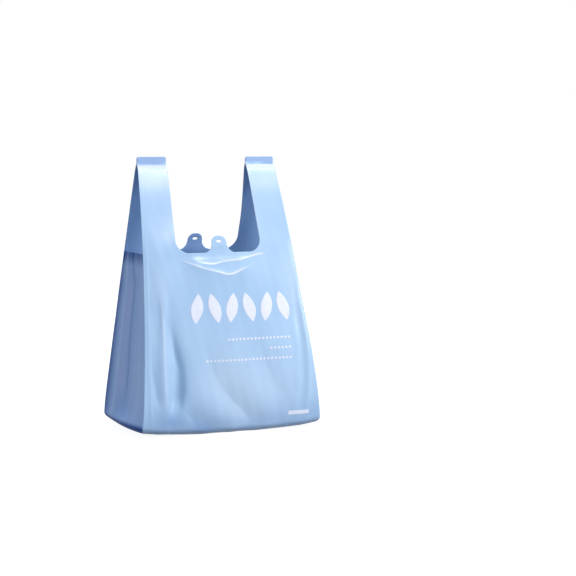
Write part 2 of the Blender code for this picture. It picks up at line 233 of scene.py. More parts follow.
# %% Crests of the swags, as (share of the half width, depth below the rim)
CREST_SOFTNESS = 0.04
FRONT_CRESTS = (
    smooth_line((
        (-1, 0.014), (-0.62, 0.002), (-0.44, 0.0075), (-0.34, 0.014), (-0.25, 0.0172), (-0.15, 0.0188),
        (-0.09, 0.019), (-0.01, 0.0163), (0.08, 0.014), (0.26, 0.0129), (0.385, 0.0086), (0.48, 0.0054),
        (0.56, 0.004), (0.66, 0.0042), (1, 0.014)), CREST_SOFTNESS),
    smooth_line((
        (-1, 0.04), (-0.64, 0.0045), (-0.56, 0.007), (-0.475, 0.013), (-0.365, 0.0195), (-0.25, 0.0258),
        (-0.1, 0.0312), (-0.02, 0.034), (0.07, 0.037), (0.14, 0.0358), (0.225, 0.0316), (0.31, 0.0268),
        (0.44, 0.02), (0.62, 0.015), (1, 0.04)), CREST_SOFTNESS),
)
BACK_CRESTS = (
    smooth_line((
        (-1, 0.014), (-0.6, 0.007), (-0.4, 0.009), (-0.1, 0.014), (0.14, 0.018), (0.36, 0.013),
        (0.6, 0.007), (1, 0.014))),
    smooth_line((
        (-1, 0.04), (-0.6, 0.022), (-0.4, 0.029), (-0.15, 0.041), (0.02, 0.044), (0.2, 0.037),
        (0.42, 0.024), (0.6, 0.018), (1, 0.04))),
)
# Below this depth the film is plain again.
SWAG_END = 0.085


def swag_depth(across, level, crests):
    """Depth below the rim of a row of film.

    Rows slide in straight steps from the rim, level 0, to the two crests, levels 1 and 2, and to level 3
    where the swags end.
    """
    upper, lower = crests[0](across), crests[1](across)
    depth = upper * np.clip(level, 0, 1) + (lower - upper) * np.clip(level - 1, 0, 1)
    return depth + (SWAG_END - lower) * np.clip(level - 2, 0, 1)


print("the front's swags hang to", round(1000 * float(FRONT_CRESTS[1](0.07)), 1), "mm below the rim")

# %% Height of a swag
CREST_ROUND = 0.0007


def crest_profile(above, upper_reach, lower_reach):
    """A tent with a soft ridge: e to the minus distance over reach, with a reach for each side."""
    distance = np.sqrt(above**2 + CREST_ROUND**2) - CREST_ROUND
    return np.exp(-distance / np.where(above > 0, upper_reach, lower_reach))


# Each swag has its height, its span along the rim, the lengths over which its two ends fade, its reach above
# and below the crest, how strong the painted highlight on its crest is at places along the rim, and the half
# width of that highlight.
FRONT_SWAGS = (
    {"height": 0.0007, "span": (-0.38, 0.66), "ends": (0.14, 0.24), "above": 0.0085, "below": 0.009,
     "white": ((-0.48, 0.0), (-0.36, 0.0), (-0.27, 0.25), (-0.2, 0.85), (-0.08, 0.9), (-0.01, 0.6),
               (0.08, 0.95), (0.28, 0.9), (0.36, 0.5), (0.44, 0.95), (0.53, 0.9), (0.62, 0.0), (0.75, 0.0)),
     "line": 0.0017},
    {"height": 0.0024, "span": (-0.53, 0.48), "ends": (0.28, 0.24), "above": 0.011, "below": 0.016,
     "white": ((-0.68, 0.0), (-0.54, 0.0), (-0.46, 0.4), (-0.41, 0.85), (-0.34, 0.8), (-0.22, 0.4),
               (-0.08, 0.4), (0.0, 0.9), (0.1, 1.0), (0.2, 0.85), (0.32, 0.3), (0.46, 0.0), (0.6, 0.0)),
     "line": 0.0016},
)
BACK_SWAGS = (
    {"height": 0.0024, "span": (-0.58, 0.62), "ends": (0.3, 0.3), "above": 0.008, "below": 0.01,
     "white": ((-0.62, 0.0), (-0.5, 0.0), (-0.1, 0.5), (0.1, 0.8), (0.5, 0.0), (0.62, 0.0)),
     "line": 0.0014},
    {"height": 0.0032, "span": (-0.54, 0.56), "ends": (0.3, 0.3), "above": 0.011, "below": 0.013,
     "white": ((-0.62, 0.0), (-0.5, 0.0), (-0.3, 0.6), (0.05, 0.9), (0.4, 0.0), (0.52, 0.0)),
     "line": 0.0014},
)
# The swags start this far below the rim.
RIM_FADE = 0.012
# The painted highlight is this much narrower below its crest, and its strength is averaged over this share of
# it.
HIGHLIGHT_BELOW = 0.35
HIGHLIGHT_SOFTNESS = 0.1


def swag_relief(x, z, crests, swags):
    """Each swag's profile across its crest, faded in and out along it, and faded to nothing at the rim."""
    across = x / half_width(z)
    relief = np.zeros_like(x + z)
    for crest, swag in zip(crests, swags):
        start, end = swag["span"]
        fade = between((start, start + swag["ends"][0]), (end - swag["ends"][1], end), across)
        above = z - (MOUTH_HEIGHT - crest(across))
        relief = relief + swag["height"] * fade * crest_profile(above, swag["above"], swag["below"])
    return relief * ease(0, RIM_FADE, MOUTH_HEIGHT - z)


def crest_highlight_paint(x, z, crests, swags):
    """A painted highlight: a thin bell along each crest, wider above it than below, times a strength given
    along the rim.
    """
    across = x / half_width(z)
    painted_highlight = np.zeros_like(x + z)
    for crest, swag in zip(crests, swags):
        above = z - (MOUTH_HEIGHT - crest(across))
        width = swag["line"] * np.where(above > 0, 1.0, HIGHLIGHT_BELOW)
        strength = smooth_line(swag["white"], HIGHLIGHT_SOFTNESS)(across)
        painted_highlight = np.maximum(painted_highlight, strength * bump(above, width))
    return painted_highlight


# %% [markdown]
# A drape is a long fold that runs down the panel. Its line is drawn through a few points, and its profile
# is a bell. The pair on the left of the front is a ridge beside a deep groove, which catches the light on
# one side only.


# %% Long folds, as (z, x) points from bottom to top, height, half width, and where they fade
DRAPE_SOFTNESS = 0.12


def drape(points, height, spread, fade_in, fade_out):
    """Keeps a long fold: its line, the height and half width of its bell, and its lower and upper fade."""
    return {"line": smooth_line(points, DRAPE_SOFTNESS), "height": height, "spread": spread,
            "in": fade_in, "out": fade_out}


# The ridge on the front breaks along this line, which also carries a painted highlight.
FRONT_RIDGE = ((0.04, -0.1165), (0.0575, -0.1165), (0.1, -0.1161), (0.172, -0.1137),
               (0.214, -0.114), (0.26, -0.1155))
FRONT_DRAPES = (
    drape(((0.2, -0.1075), (0.25, -0.1025), (0.3, -0.1035)),
          0.0022, 0.02, (0.19, 0.25), (0.24, 0.345)),
    drape(((0.04, -0.1175), (0.085, -0.12), (0.14, -0.118), (0.195, -0.1115), (0.25, -0.1075)),
          0.0026, 0.007, (0.034, 0.08), (0.2, 0.25)),
    drape(FRONT_RIDGE, 0.0008, 0.0024, (0.048, 0.08), (0.19, 0.24)),
    drape(((0.04, -0.102), (0.075, -0.0957), (0.12, -0.0933), (0.16, -0.098), (0.21, -0.1025)),
          -0.0085, 0.0105, (0.02, 0.064), (0.1, 0.205)),
    drape(((0.04, -0.093), (0.06, -0.09), (0.084, -0.0875), (0.111, -0.088), (0.14, -0.094),
           (0.187, -0.0995)), -0.0026, 0.0042, (0.03, 0.07), (0.12, 0.195)),
    drape(((0.04, -0.129), (0.07, -0.133), (0.12, -0.1375), (0.16, -0.138)),
          -0.0016, 0.005, (0.04, 0.064), (0.08, 0.14)),
    drape(((0.02, 0.132), (0.088, 0.1405), (0.15, 0.141), (0.21, 0.137)),
          0.0014, 0.005, (0.02, 0.06), (0.19, 0.27)),
    drape(((0.02, 0.12), (0.088, 0.129), (0.15, 0.131), (0.21, 0.129)),
          -0.0012, 0.006, (0.02, 0.06), (0.19, 0.27)),
    drape(((0.02, -0.144), (0.117, -0.1415), (0.223, -0.135), (0.3, -0.13)),
          0.0006, 0.0022, (0.01, 0.04), (0.28, 0.33)),
)
BACK_DRAPES = (
    drape(((0.05, 0.098), (0.15, 0.094), (0.24, 0.086)),
          0.0042, 0.012, (0.04, 0.09), (0.18, 0.26)),
    drape(((0.05, 0.07), (0.13, 0.064), (0.2, 0.056)),
          -0.0045, 0.01, (0.05, 0.09), (0.12, 0.21)),
    drape(((0.05, -0.112), (0.14, -0.106), (0.22, -0.1)),
          -0.0035, 0.012, (0.04, 0.09), (0.14, 0.24)),
    drape(((0.02, -0.14), (0.12, -0.138), (0.22, -0.132)),
          0.001, 0.004, (0.02, 0.06), (0.19, 0.27)),
)


def drape_relief(x, z, drapes):
    """The sum over the drapes of height times smooth fades at both ends times a bell across the line."""
    return sum(
        fold["height"] * between(fold["in"], fold["out"], z) * bump(x - fold["line"](z), fold["spread"])
        for fold in drapes)


print("long folds:", len(FRONT_DRAPES), "on the front and", len(BACK_DRAPES), "on the back")

# %% [markdown]
# Low down, the film slumps into slanting folds, because it is longer than the height that it has to fill. A
# cloth simulation would find such folds by itself, but not where this bag has them, so a wave follows one
# valley drawn through points. Such folds have round backs and sharp valleys, since film creases where it is
# pushed in and not where it is pushed out.


# %% Slumped folds near the base, beside a valley drawn through (z, x) points
SLUMP_SOFTNESS = 0.15
VALLEY_SHARPNESS = 0.6
FRONT_SLUMP = {
    "valley": smooth_line((
        (0.0, 0.047), (0.0104, 0.0385), (0.0306, 0.0245), (0.0508, 0.0045), (0.0776, -0.019),
        (0.1045, -0.03), (0.131, -0.039), (0.17, -0.047)), SLUMP_SOFTNESS),
    "period": 0.098, "height": 0.0019, "left": (-0.105, -0.06), "right": (0.045, 0.115),
    "low": (0.004, 0.034), "high": (0.09, 0.17)}
BACK_SLUMP = {
    "valley": smooth_line(((0.0, -0.03), (0.05, -0.005), (0.1, 0.015), (0.17, 0.025)), SLUMP_SOFTNESS),
    "period": 0.095, "height": 0.0022, "left": (-0.12, -0.06), "right": (0.06, 0.11),
    "low": (0.002, 0.022), "high": (0.08, 0.15)}


def slump_relief(x, z, slump):
    """Half a cosine wave of the distance from the valley, to a power that sharpens it, within soft limits."""
    wave = 0.5 - 0.5 * np.cos(2 * pi * (x - slump["valley"](z)) / slump["period"])
    fade = between(slump["left"], slump["right"], x) * between(slump["low"], slump["high"], z)
    return slump["height"] * fade * (2 * wave**VALLEY_SHARPNESS - 1)


# %% Bulge of the rim and fine unevenness
RIM_BULGE = 0.006
RIM_BULGE_FADE = 0.045
# Wave lengths, how high each wave is for its length, and the share that the strips lose between two heights.
UNEVEN_LENGTHS = (0.11, 0.074, 0.047, 0.031, 0.019)
UNEVEN_STEEPNESS = 0.0034
UNEVEN_LOSS = 0.6
UNEVEN_FADE = (0.28, 0.36)


def bulge_relief(x, z):
    """One minus across squared, rising from the floor to the mouth and falling as a bell above it."""
    above = np.clip(z - MOUTH_HEIGHT, 0, None)
    return RIM_BULGE * inwards(x, z) * bump(above, RIM_BULGE_FADE) * ease(0, MOUTH_HEIGHT / 2, z)


def uneven_relief(x, z, seed):
    """A few crossed sines of unlike lengths, under half a millimetre high, so that no film is quite flat."""
    draw = np.random.default_rng(seed)
    relief = np.zeros_like(x + z)
    for length in UNEVEN_LENGTHS:
        turn, phase = draw.uniform(-0.5, 0.5), draw.uniform(0, 2 * pi)
        along = x * np.cos(turn) + z * np.sin(turn)
        relief = relief + UNEVEN_STEEPNESS * length * np.sin(2 * pi * along / length + phase)
    return relief * (1 - UNEVEN_LOSS * ease(*UNEVEN_FADE, z))


# %% Where light, shade and highlights are painted on the film
# Soft patches of painted light, as (x, z, half width, half height, how light).
FRONT_PAINTED_LIGHT = ((-0.004, 0.085, 0.042, 0.052, 0.48), (0.07, 0.072, 0.055, 0.045, 0.32),
              (-0.111, 0.245, 0.012, 0.032, 0.24), (0.09, 0.27, 0.05, 0.03, 0.14),
              (0.128, 0.23, 0.022, 0.055, 0.28), (0.022, 0.036, 0.03, 0.018, 0.24))
BACK_PAINTED_LIGHT = ((0.02, 0.12, 0.05, 0.06, 0.25), (-0.07, 0.23, 0.04, 0.04, 0.18))

# Patches of painted shade deepen the blue near the floor, where folds run out and the film turns away from
# the light. The values are as above.
FRONT_PAINTED_SHADE = ((-0.104, 0.026, 0.024, 0.018, 0.3), (-0.052, 0.012, 0.024, 0.014, 0.36),
                 (-0.0885, 0.07, 0.008, 0.022, 0.2))
BACK_PAINTED_SHADE = ((0.07, 0.026, 0.024, 0.018, 0.3), (-0.11, 0.014, 0.024, 0.014, 0.25))

# A painted highlight along a long crease is kept as a drape whose height tells how bright it is.
FRONT_CREASE_HIGHLIGHTS = (drape(FRONT_RIDGE, 0.24, 0.0017, (0.04, 0.08), (0.19, 0.25)),)
BACK_CREASE_HIGHLIGHTS = (
    drape(((0.04, 0.098), (0.15, 0.094), (0.26, 0.086)), 0.2, 0.0016, (0.05, 0.09), (0.17, 0.24)),)


def soft_patches(x, z, patches):
    """A sum of two-way bells, one for each soft patch."""
    return sum(amount * bump(x - middle, half_wide) * bump(z - height, half_high)
               for middle, height, half_wide, half_high, amount in patches)


# %% All the folds of a panel
# The lip under the weld, the length over which it springs out, and the length over which it fades.
KINK_HEIGHT = 0.002
KINK_RISE = 0.002
KINK_FADE = 0.05
# How near the fold edges the folds and the swags fade, as one minus across squared.
FOLD_MARGIN = 0.1
SWAG_MARGIN = 0.25


def kink_relief(z):
    """Just under the weld the film springs outwards: one minus a steep e-curve, times a slow one."""
    below = np.clip(WELD_LINE - z, 0, None)
    return KINK_HEIGHT * (1 - np.exp(-below / KINK_RISE)) * np.exp(-below / KINK_FADE)


def panel_relief(x, z, look):
    """The sum of all the folds of one panel, faded out at its fold edges."""
    inside = inwards(x, z)
    folds = drape_relief(x, z, look["drapes"]) + uneven_relief(x, z, look["seed"])
    folds = folds + slump_relief(x, z, look["slump"])
    below_rim = np.where(z < MOUTH_HEIGHT, swag_relief(x, z, look["crests"], look["swags"]), 0)
    relief = bulge_relief(x, z) + ease(0, FOLD_MARGIN, inside) * folds
    return relief + ease(0, SWAG_MARGIN, inside) * below_rim + kink_relief(z)


# A look also holds its patches of painted shade and painted light, and its painted highlights along creases.
FRONT = {"facing": -1, "sway": FRONT_SWAY, "crests": FRONT_CRESTS, "swags": FRONT_SWAGS,
         "drapes": FRONT_DRAPES, "slump": FRONT_SLUMP, "shade_patches": FRONT_PAINTED_SHADE, "light_patches": FRONT_PAINTED_LIGHT,
         "creases": FRONT_CREASE_HIGHLIGHTS, "seed": 3}
BACK = {"facing": 1, "sway": BACK_SWAY, "crests": BACK_CRESTS, "swags": BACK_SWAGS,
        "drapes": BACK_DRAPES, "slump": BACK_SLUMP, "shade_patches": BACK_PAINTED_SHADE, "light_patches": BACK_PAINTED_LIGHT,
        "creases": BACK_CREASE_HIGHLIGHTS, "seed": 8}

# %% [markdown]
# ## From grids to meshes
#
# A patch is a grid of points, rows by columns. Patches that share an edge are put into one mesh, and points
# that lie at the same place become one. Sorting rounded coordinates does this in one numpy call, without
# the merge tool and its loop. Each point's three values for the finish become attributes of the mesh, which
# a material can read.


# %% Grids into one mesh
JOIN_DISTANCE = 1e-5


def grid_faces(rows, columns, first):
    """The four corner numbers of each square of a grid whose points are numbered row by row from first."""
    corner = first + np.arange(rows - 1)[:, None] * columns + np.arange(columns - 1)
    return np.stack([corner, corner + 1, corner + columns + 1, corner + columns], axis=-1).reshape(-1, 4)


def in_scene(name, data):
    """A new object that holds the data, linked to the scene."""
    thing = bpy.data.objects.new(name, data)
    bpy.context.scene.collection.objects.link(thing)
    return thing


def mesh_of(name, patches):
    """One object from grids of points, with points that round to the same place joined."""
    points, faces, count = [], [], 0
    for patch in patches:
        rows, columns, values = patch.shape
        points.append(patch.reshape(-1, values))
        faces.append(grid_faces(rows, columns, count))
        count += rows * columns
    points, faces = np.concatenate(points), np.concatenate(faces)
    places = np.round(points[:, :3] / JOIN_DISTANCE)
    _, kept, number = np.unique(places, axis=0, return_index=True, return_inverse=True)
    mesh = bpy.data.meshes.new(name)
    mesh.from_pydata(points[kept, :3], [], number.reshape(-1)[faces].tolist())
    for column, label in ((OVERLAP_AND_SHADE, "overlap_and_shade"), (PAINTED_HIGHLIGHT, "painted_highlight"), (PAINTED_LIGHT, "milky")):
        layer = mesh.attributes.new(label, "FLOAT", "POINT")
        layer.data.foreach_set("value", points[kept, column].astype(np.float32))
    mesh.validate()
    mesh.shade_smooth()
    return in_scene(name, mesh)


# %% Rows and columns of a panel
# How many rows turn round the base fold, rise to the swags and lie in their three steps, and how many columns
# cross half the tab, the flat of the rim and a strip, at fineness 1.
BASE_ROWS = 8
PLAIN_ROWS = 112
SWAG_ROWS = (22, 28, 34)
HALF_TAB_COLUMNS = 20
FLAT_COLUMNS = 14
STRIP_COLUMNS = 54
# Rows crowd towards the sharp crests by this power. A row that isn't part of the swags has this level.
ROW_CROWDING = 1.7
NO_SWAG = 9


def body_rows(fine):
    """(height at the fold edge, inset, swag level) of each row, from the base up to the rim."""
    count = round(BASE_ROWS * fine)
    angle = pi / 2 * (1 - np.arange(count) / count)
    turn = [BASE_ROUND * (1 - np.sin(angle)), BASE_ROUND * (1 - np.cos(angle)), NO_SWAG + 0 * angle]
    plain = np.linspace(BASE_ROUND, MOUTH_HEIGHT - SWAG_END, round(PLAIN_ROWS * fine), endpoint=False)
    plain = [plain, 0 * plain, NO_SWAG + 0 * plain]
    steps = [np.linspace(0, 1, round(count * fine), endpoint=False) for count in SWAG_ROWS]
    level = np.concatenate([1 - (1 - steps[0]) ** ROW_CROWDING, 1.5 - np.cos(pi * steps[1]) / 2,
                            2 + steps[2] ** ROW_CROWDING, [3.0]])[::-1]
    swag = [MOUTH_HEIGHT - swag_depth(1.0, level, FRONT_CRESTS), 0 * level, level]
    return np.concatenate([np.stack(rows, axis=1) for rows in (turn, plain, swag)])


def rim_places(fine):
    """The x of each column at the rim: even steps over the tab, the flat of the rim and the strip."""
    right = np.concatenate([
        np.linspace(0, TAB_ROOT, round(HALF_TAB_COLUMNS * fine), endpoint=False),
        np.linspace(TAB_ROOT, RIM_FLAT, round(FLAT_COLUMNS * fine), endpoint=False),
        np.linspace(RIM_FLAT, half_width(MOUTH_HEIGHT), round(STRIP_COLUMNS * fine) + 1),
    ])
    return np.concatenate([-right[:0:-1], right])


print("a panel has", len(body_rows(1.0)), "rows and", len(rim_places(1.0)), "columns below its rim")

# %% One panel's surface
# The hem's wave: its height, length and start, how far up it reaches, and where it ends above the fold.
HEM_WAVE = 0.0013
HEM_WAVE_LENGTH = 0.062
HEM_WAVE_START = 1.1
HEM_WAVE_REACH = 0.016
HEM_WAVE_END = 0.008
# A panel's blue is a little deeper near the floor, a painted shade where the film turns under.
LOW_PAINTED_SHADE = 0.17
LOW_PAINTED_SHADE_FADE = (0.004, 0.06)


def panel_points(look, x, z, inset=0.0):
    """The point of a panel at x and z: depth plus folds gives y, then sway and stance move it."""
    out = half_depth(z) + panel_relief(x, z, look) - inset
    hem = HEM_WAVE * bump(z, HEM_WAVE_REACH) * np.sin(2 * pi * x / HEM_WAVE_LENGTH + HEM_WAVE_START)
    hem = hem * inwards(x, z) * ease(0, HEM_WAVE_END, z)
    grid = settled(swayed(x, z, look["sway"]), look["facing"] * (out + hem), z)
    # Painted shade near the floor and in patches, painted highlights on crests and creases, and painted light
    # in patches.
    shade_patches = LOW_PAINTED_SHADE * (1 - ease(*LOW_PAINTED_SHADE_FADE, z)) + soft_patches(x, z, look["shade_patches"])
    grid[..., OVERLAP_AND_SHADE] = np.maximum(grid[..., OVERLAP_AND_SHADE], shade_patches)
    crests = crest_highlight_paint(x, z, look["crests"], look["swags"])
    grid[..., PAINTED_HIGHLIGHT] = np.maximum(crests, drape_relief(x, z, look["creases"]))
    grid[..., PAINTED_LIGHT] = soft_patches(x, z, look["light_patches"])
    return grid


def outward(grid, look):
    """Turns a grid's columns round on the back panel, so that its faces point outwards too."""
    return grid if look["facing"] < 0 else grid[:, ::-1]


def body_patch(look, fine):
    """Below the rim, every column keeps its share of the width while rows follow the swags."""
    rows, rim, outer = body_rows(fine), rim_places(fine), half_width(MOUTH_HEIGHT)
    edge, inset, level = rows[:, 0:1], rows[:, 1:2], rows[:, 2:3]
    x = rim * (half_width(edge) - inset) / outer
    swag = MOUTH_HEIGHT - swag_depth(rim / outer, np.minimum(level, 3), look["crests"])
    return outward(panel_points(look, x, np.where(level > 3, edge + 0 * rim, swag), inset), look)


# %% A handle strip
TURN_ROWS = 14
RISE_ROWS = 64
RISE_CROWDING = 1.5
# A strip ends this far inside its weld.
STRIP_TUCK = 0.004
# A painted highlight runs along the very edge of a strip, and another along the lip under the weld, which
# hangs lower on the left.
EDGE_HIGHLIGHT = 0.5
EDGE_LINE = 0.0008
EDGE_FADE = 0.02
LIP_HIGHLIGHT = 0.85
LIP_LINE = 0.0022
LIP_DROP = {-1: 0.0042, 1: 0.003}
# Below the lip a band of painted light, part of the strips' highlight, lies round this depth.
STRIP_PAINTED_LIGHT = 0.36
STRIP_LIGHT_DROP = 0.031
STRIP_LIGHT_REACH = 0.013


def strip_patch(look, fine, side):
    """A handle strip: rows turn a quarter circle round the mouth's corner, then rise to inside the weld."""
    turn = np.linspace(0, pi / 2, round(TURN_ROWS * fine), endpoint=False)
    rise = 1 - (1 - np.linspace(0, 1, round(RISE_ROWS * fine))) ** RISE_CROWDING
    corner_top = MOUTH_HEIGHT + MOUTH_CORNER
    z = np.concatenate([MOUTH_HEIGHT + MOUTH_CORNER * (1 - np.cos(turn)),
                        corner_top + (WELD_LINE - corner_top) * rise,
                        [WELD_LINE + STRIP_TUCK]])
    inner = np.concatenate([RIM_FLAT + MOUTH_CORNER * np.sin(turn),
                            MOUTH_WIDTH / 2 + (MOUTH_TOP_WIDTH - MOUTH_WIDTH) / 2 * rise,
                            [MOUTH_TOP_WIDTH / 2]])
    share = np.linspace(0, 1, round(STRIP_COLUMNS * fine) + 1)
    x = side * (inner[:, None] + (half_width(z) - inner)[:, None] * share)
    grid = panel_points(look, x[:, ::side], z[:, None] + 0 * x)
    # Painted highlights along the cut edge and the lip, and a band of painted light below the lip.
    above_rim = ease(MOUTH_HEIGHT, MOUTH_HEIGHT + EDGE_FADE, z)[:, None]
    edge_highlight = EDGE_HIGHLIGHT * bump(x - side * inner[:, None], EDGE_LINE) * above_rim
    lip_highlight = LIP_HIGHLIGHT * bump(WELD_LINE - LIP_DROP[side] - z, LIP_LINE)
    grid[..., PAINTED_HIGHLIGHT] = np.maximum(edge_highlight[:, ::side], lip_highlight[:, None])
    grid[..., PAINTED_LIGHT] += STRIP_PAINTED_LIGHT * bump(WELD_LINE - STRIP_LIGHT_DROP - z, STRIP_LIGHT_REACH)[:, None]
    return outward(grid, look)


# %% [markdown]
# Each tab has a slot to hang the bag by. Its lower part is a plain patch that flares into the rim. Its
# upper part is a ring: each ray runs from the punched slot to the outline, so the slot is a true hole with
# a clean edge. A Boolean cut would punch it too, but would leave long thin triangles round it.


# %% The tab and its slot
# The tab is free, so it leans back less than its panel, by this slope, which sets in over this height.
TAB_STRAIGHT = 0.1
TAB_STRAIGHT_TOP = 0.012
TAB_ROWS = 10
TAB_SIDE_ROWS = 3
# The slot's outline is a superellipse of this power, between an ellipse's 2 and a rectangle's infinity.
SLOT_POWER = 2.6


def tab_half_width(height):
    """A quarter ellipse at the root, then straight sides, then the quarter circles of the round top."""
    flare = np.clip(1 - height / TAB_FLARE_HEIGHT, 0, 1)
    rise = np.clip(height - TAB_HEIGHT + TAB_TOP_ROUND, 0, TAB_TOP_ROUND)
    rounding = TAB_TOP_ROUND - np.sqrt(TAB_TOP_ROUND**2 - rise**2)
    return TAB_WIDTH / 2 + TAB_FLARE_WIDTH * (1 - np.sqrt(1 - flare**2)) - rounding


def slot_reach(angle):
    """How far the slot's edge lies from its middle: (|2 cos / width|^n + |2 sin / height|^n)^(-1/n)."""
    wide = np.abs(np.cos(angle) * 2 / SLOT_WIDTH) ** SLOT_POWER
    high = np.abs(np.sin(angle) * 2 / SLOT_HEIGHT) ** SLOT_POWER
    return (wide + high) ** (-1 / SLOT_POWER)


def tab_patches(look, fine):
    """The flared root as rows, and above it a ring whose rows shrink from the outline to the slot."""
    columns = round(HALF_TAB_COLUMNS * fine)
    share = np.linspace(-1, 1, 2 * columns + 1)
    height = TAB_NECK * (1 - np.cos(pi / 2 * np.linspace(0, 1, round(TAB_ROWS * fine)))) ** 0.9
    root = panel_points(look, tab_half_width(height)[:, None] * share,
                        MOUTH_HEIGHT + height[:, None] + 0 * share)

    neck = float(tab_half_width(np.float64(TAB_NECK)))
    climb = np.sin(pi / 2 * np.linspace(0, 1, TAB_SIDE_ROWS * columns))
    climb = TAB_NECK + (TAB_HEIGHT - TAB_NECK) * climb
    side = np.stack([tab_half_width(climb), climb], axis=1)
    bottom = np.stack([neck * share, TAB_NECK + 0 * share], axis=1)
    outline = np.concatenate([bottom, side[1:], (side * (-1, 1))[:-1][::-1]])
    centre = np.array([0, TAB_HEIGHT - SLOT_DROP])
    angle = np.arctan2(outline[:, 1] - centre[1], outline[:, 0])
    slot = centre + slot_reach(angle)[:, None] * np.stack([np.cos(angle), np.sin(angle)], axis=1)
    ring = outline + (slot - outline) * np.linspace(0, 1, round(TAB_ROWS * fine))[:, None, None]
    top = panel_points(look, ring[..., 0], MOUTH_HEIGHT + ring[..., 1])
    for grid, rise in ((root, height[:, None]), (top, ring[..., 1])):
        grid[..., 1] += look["facing"] * TAB_STRAIGHT * rise * ease(0, TAB_STRAIGHT_TOP, rise)
    return [outward(root, look), outward(top, look)]


# %% Build the two panels
# The back has fewer folds, so it is drawn more coarsely.
FRONT_FINENESS = 1.0
BACK_FINENESS = 0.65


def panel(name, look, fine):
    """One mesh from the five patches of a panel: body, two strips, and the root and ring of the tab."""
    patches = [body_patch(look, fine), strip_patch(look, fine, -1), strip_patch(look, fine, 1)]
    return mesh_of(name, patches + tab_patches(look, fine))


front_panel = panel("film_front_panel", FRONT, FRONT_FINENESS)
back_panel = panel("film_back_panel", BACK, BACK_FINENESS)
for piece in (front_panel, back_panel):
    print(piece.name, "has", len(piece.data.polygons), "faces")

# %% [markdown]
# ## Gussets
#
# Each gusset was folded inwards when the bag was flat, so a crease is left down its middle and the film on
# both sides of it still wants to fold the same way. It ends level with the mouth, because the punch cut its
# fold away above. Creases could be pulled into a plane with the edit tools, but here a formula across the
# gusset and a line up it say how deep the fold is at each height.

# %% Pleats of the gussets
# The middle crease's depth at each height, and how round its bottom is.
CREASE_DEPTH = smooth_line(((0.0, 0.004), (0.03, 0.0105), (0.09, 0.0095), (0.15, 0.008), (0.2, 0.0095),
                            (0.24, 0.011), (0.28, 0.004), (0.3, 0.0025)), 0.12)
CREASE_ROUND = 0.05
GUSSET_FADE = (0.002, 0.028)
# The ridge behind the crease: its height, place and half width, and how much lower it is at the top.
RIDGE_HEIGHT = 0.005
RIDGE_PLACE = 0.4
RIDGE_SPREAD = 0.22
RIDGE_LOSS = 0.5
RIDGE_LOSS_FADE = (0.22, 0.29)
# Pleats: how high each is for its length, their lengths, and how fast they drift sideways with height.
PLEAT_STEEPNESS = 0.0005
PLEAT_LENGTHS = (0.62, 0.37, 0.23)
PLEAT_DRIFT = 6


def gusset_relief(place, z, seed):
    """A V at the middle crease with a rounded bottom, a bell-shaped ridge behind it, and slight pleats."""
    rounded = np.sqrt(place**2 + CREASE_ROUND**2) - CREASE_ROUND
    rounded_end = np.sqrt(1 + CREASE_ROUND**2) - CREASE_ROUND
    crease = -CREASE_DEPTH(z) * np.clip(1 - rounded / rounded_end, 0, 1)
    ridge = RIDGE_HEIGHT * bump(place - RIDGE_PLACE, RIDGE_SPREAD)
    ridge = ridge * (1 - RIDGE_LOSS * ease(*RIDGE_LOSS_FADE, z))
    draw = np.random.default_rng(seed)
    pleats = np.zeros_like(place + z)
    for length in PLEAT_LENGTHS:
        wave = 2 * pi * place / length + draw.uniform(0, 2 * pi) + PLEAT_DRIFT * z
        pleats = pleats + PLEAT_STEEPNESS * length * np.sin(wave)
    edge = np.clip(1 - place**4, 0, 1)
    return ease(*GUSSET_FADE, z) * (crease + edge * (ridge + pleats))


# %% Where a gusset is double, or painted with shade or light
# Its ends are folded flat under the bag, so the hem's deeper blue, partly that double film and partly painted
# shade, reaches up to here, less high at the back.
GUSSET_HEM = 0.018
GUSSET_HEM_LOSS = 0.2
HEM_STRENGTH = 1.3
# Bells across the gusset, as (place, half width, amount), of painted shade at the back fold and in a line
# beside the crease, which starts between two heights, and painted shade at the top.
BACK_FOLD_SHADE = (1, 0.17, 0.75)
CREASE_SHADE = (0.13, 0.035, 0.3)
CREASE_SHADE_START = (0.03, 0.08)
TOP_SHADE = 0.75
TOP_SHADE_START = (0.272, 0.296)
# Painted light lies on the ridge along a band that slants forwards, and on the front half too, much less.
RIDGE_PAINTED_LIGHT = (0.34, 0.14, 0.6)
RIDGE_LIGHT_SLANT = 0.05
FRONT_HALF_PAINTED_LIGHT = (-0.25, 0.35, 0.14)


def bell_across(place, middle, half_wide, amount):
    """The amount times a bell across the gusset."""
    return amount * bump(place - middle, half_wide)


def gusset_overlap_and_shade(place, z):
    """The hem, partly double film and partly painted shade, or else the painted shade at the back fold,
    beside the crease and at the top.
    """
    hem_top = GUSSET_HEM * (1 - GUSSET_HEM_LOSS * ease(-0.8, 0.2, place)) + 0 * z
    hem = HEM_STRENGTH * (1 - ease(0.35, 1.0, z / hem_top))
    crease_shade = bell_across(place, *CREASE_SHADE) * ease(*CREASE_SHADE_START, z)
    folds = bell_across(place, *BACK_FOLD_SHADE) + crease_shade + TOP_SHADE * ease(*TOP_SHADE_START, z)
    return np.clip(np.maximum(hem, folds), 0, 1)


def gusset_painted_light(place, z):
    """Painted light: two bells across the gusset, faded out near the floor and near the top."""
    slanted = place + RIDGE_LIGHT_SLANT * z / MOUTH_HEIGHT
    light_patches = bell_across(slanted, *RIDGE_PAINTED_LIGHT) + bell_across(place, *FRONT_HALF_PAINTED_LIGHT)
    return light_patches * between((0.02, 0.08), (0.24, 0.29), z)


# %% Build the two gussets
GUSSET_FINENESS = 0.8
GUSSET_COLUMNS = 110
PLEAT_SEED = 20


